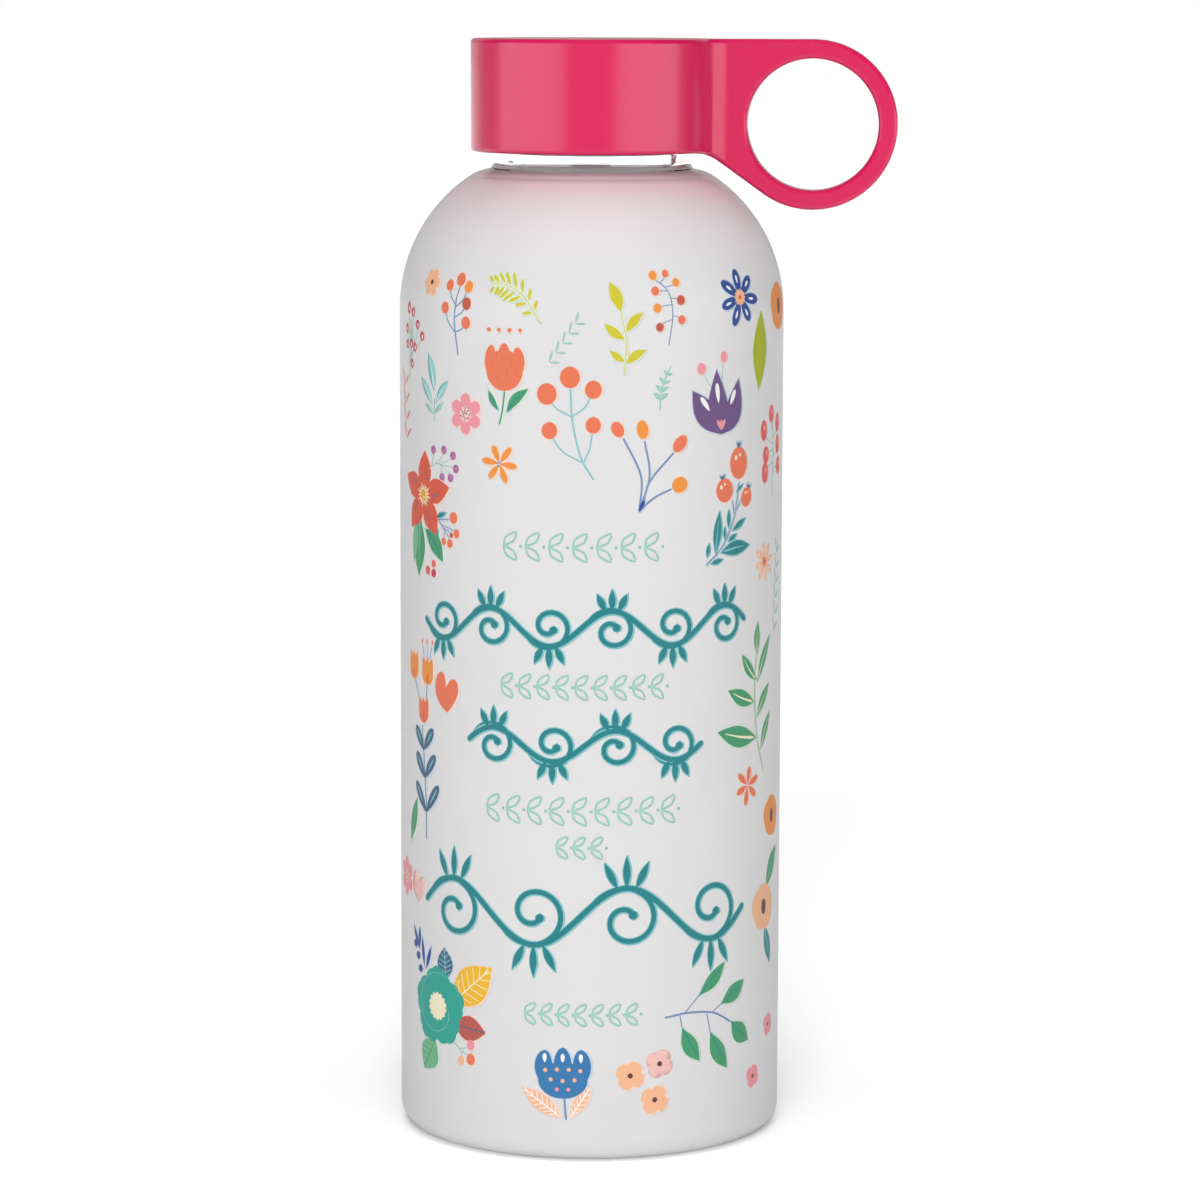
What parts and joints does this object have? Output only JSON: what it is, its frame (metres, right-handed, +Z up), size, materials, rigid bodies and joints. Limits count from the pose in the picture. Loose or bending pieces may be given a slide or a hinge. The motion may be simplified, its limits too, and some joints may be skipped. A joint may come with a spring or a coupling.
{
  "type": "glass water bottle",
  "caption": "Frosted glass water bottle with a rounded shoulder, a short threaded neck and a plastic screw cap that carries a ring-shaped finger loop.",
  "frame": {"origin": "centre of the base, in the plane that the bottle stands on", "axes": "+Z up along the bottle's axis, +X towards the carry loop of the closed cap"},
  "size_m": [0.0968, 0.075, 0.214],
  "materials": {
    "frosted_glass": "frosted outside, clear at the neck",
    "cap_plastic": "satin raspberry pink",
    "insert_plastic": "satin raspberry, the same as the cap",
    "silicone": "translucent white silicone"
  },
  "bodies": {
    "bottle": {"glass_bottle": "frosted_glass"},
    "seal": {"seal_gasket": "silicone"},
    "cap": {"cap_shell": "cap_plastic", "thread_insert": "insert_plastic"}
  },
  "joints": [
    {"name": "cap_rise", "type": "slide", "parent": "bottle", "child": "seal", "axis": [0, 0, 1], "range_m": [0, 0.021]},
    {"name": "cap_turn", "type": "hinge", "parent": "seal", "child": "cap", "pos_m": [0, 0, 0.2], "axis": [0, 0, 1], "range_deg": [0, 1800]}
  ],
  "couplings": [
    {"joint": "cap_rise", "follows": "cap_turn", "m_per_rad": 0.00066845}
  ]
}
